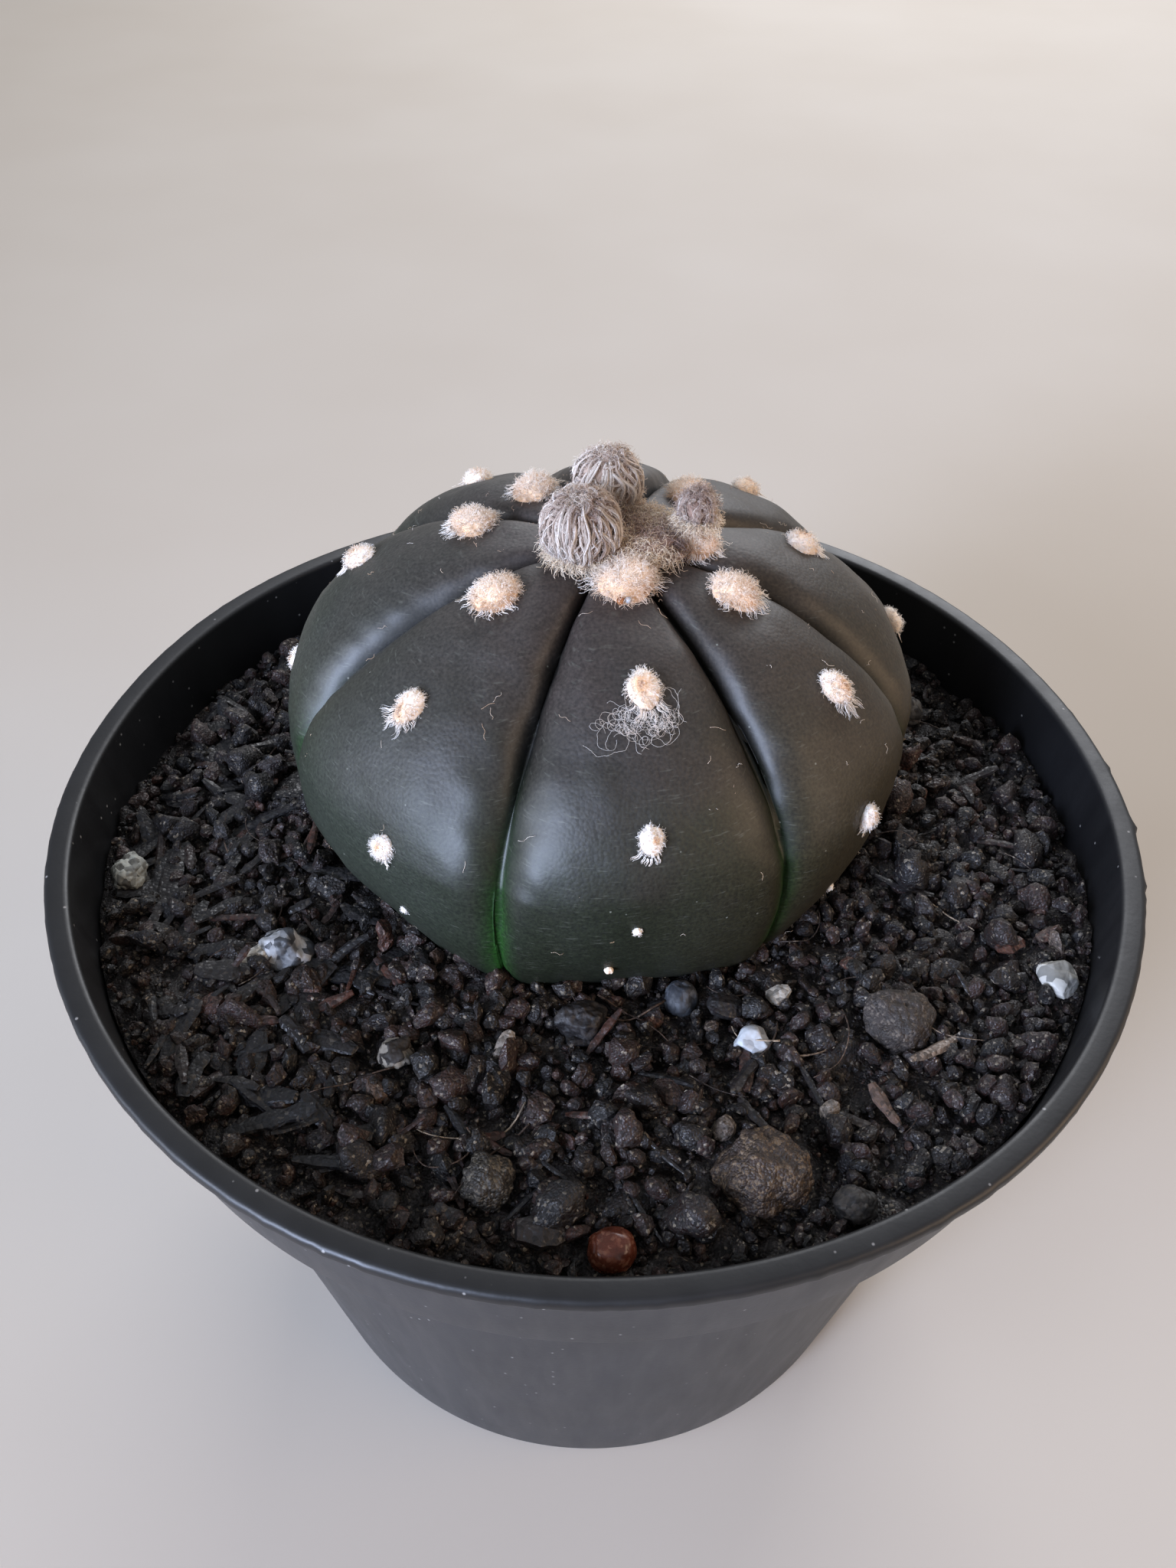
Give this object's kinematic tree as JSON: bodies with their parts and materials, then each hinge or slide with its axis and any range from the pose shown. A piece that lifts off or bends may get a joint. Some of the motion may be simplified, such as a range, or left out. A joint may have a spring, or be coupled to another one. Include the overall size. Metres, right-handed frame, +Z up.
{
  "type": "potted round cactus",
  "caption": "Round spineless ribbed cactus with woolly tufts and buds, planted in a round stepped-collar nursery pot filled with bark and grit mix.",
  "frame": {"origin": "centre of the pot's underside, on the surface it stands on", "axes": "+Z up through the pot's lip, -Y towards the front rib, +X to the right seen from the front"},
  "size_m": [0.11, 0.11, 0.1085],
  "materials": {
    "pot_plastic": "black moulded polypropylene, satin, slightly dusty",
    "potting_mix": "moist composted bark, charcoal and grit",
    "cactus_skin": "living skin, dark grey-green, fine leathery grain with a waxy sheen",
    "cream_wool": "short felted plant wool, cream to peach",
    "grey_wool": "long grey-mauve plant wool over brown bud scales",
    "stone": "natural gravel, speckled, dusty",
    "charcoal": "dull charcoal with bright breaks"
  },
  "bodies": {
    "root": {"areole_1_1": "cream_wool", "areole_1_2": "cream_wool", "areole_1_3": "cream_wool", "areole_1_4": "cream_wool", "areole_2_1": "cream_wool", "areole_2_2": "cream_wool", "areole_2_3": "cream_wool", "areole_2_4": "cream_wool", "areole_3_1": "cream_wool", "areole_3_2": "cream_wool", "areole_3_3": "cream_wool", "areole_3_4": "cream_wool", "areole_4_1": "cream_wool", "areole_4_2": "cream_wool", "areole_4_3": "cream_wool", "areole_4_4": "cream_wool", "areole_5_1": "cream_wool", "areole_5_2": "cream_wool", "areole_5_3": "cream_wool", "areole_5_4": "cream_wool", "areole_6_1": "cream_wool", "areole_6_2": "cream_wool", "areole_6_3": "cream_wool", "areole_6_4": "cream_wool", "areole_7_1": "cream_wool", "areole_7_2": "cream_wool", "areole_7_3": "cream_wool", "areole_7_4": "cream_wool", "areole_8_1": "cream_wool", "areole_8_2": "cream_wool", "areole_8_3": "cream_wool", "areole_8_4": "cream_wool", "cactus_body": "cactus_skin", "charcoal_lump_front": "charcoal", "chip_pale_right": "stone", "crown_wool": "cream_wool", "flower_bud_back": "grey_wool", "flower_bud_front": "grey_wool", "flower_bud_right": "grey_wool", "gravel_brown_right": "stone", "gravel_grey_brown": "stone", "gravel_speckled": "stone", "pebble_blue_grey": "stone", "pebble_dark_right": "stone", "pebble_pale_left": "stone", "pebble_red_brown": "stone", "pebble_white": "stone", "pot": "pot_plastic", "potting_mix": "potting_mix", "stone_behind_left": "stone", "stone_behind_right": "stone", "stone_grey_angular": "stone", "stone_white_spot": "stone"}
  },
  "joints": []
}
